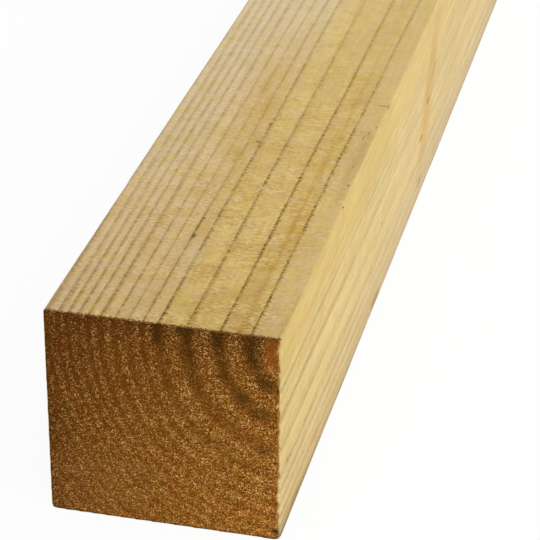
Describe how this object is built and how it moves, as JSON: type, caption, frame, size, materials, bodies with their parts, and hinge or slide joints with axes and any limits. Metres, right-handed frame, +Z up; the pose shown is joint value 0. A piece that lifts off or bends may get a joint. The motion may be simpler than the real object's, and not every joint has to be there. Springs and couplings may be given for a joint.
{
  "type": "timber beam",
  "caption": "Sawn softwood beam of nearly square section, with eased long arrises, rough-sawn pale faces and square-cut, dark brown end grain.",
  "frame": {"origin": "under the middle of the beam, on the face that it lies on", "axes": "+X across the width, +Y along the grain, away from the end that the picture shows, +Z up"},
  "size_m": [0.075, 2.4, 0.073],
  "materials": {
    "sawn_softwood": "rough-sawn, matt, pale tan faces and dark brown end grain"
  },
  "bodies": {
    "root": {"timber_beam": "sawn_softwood"}
  },
  "joints": []
}
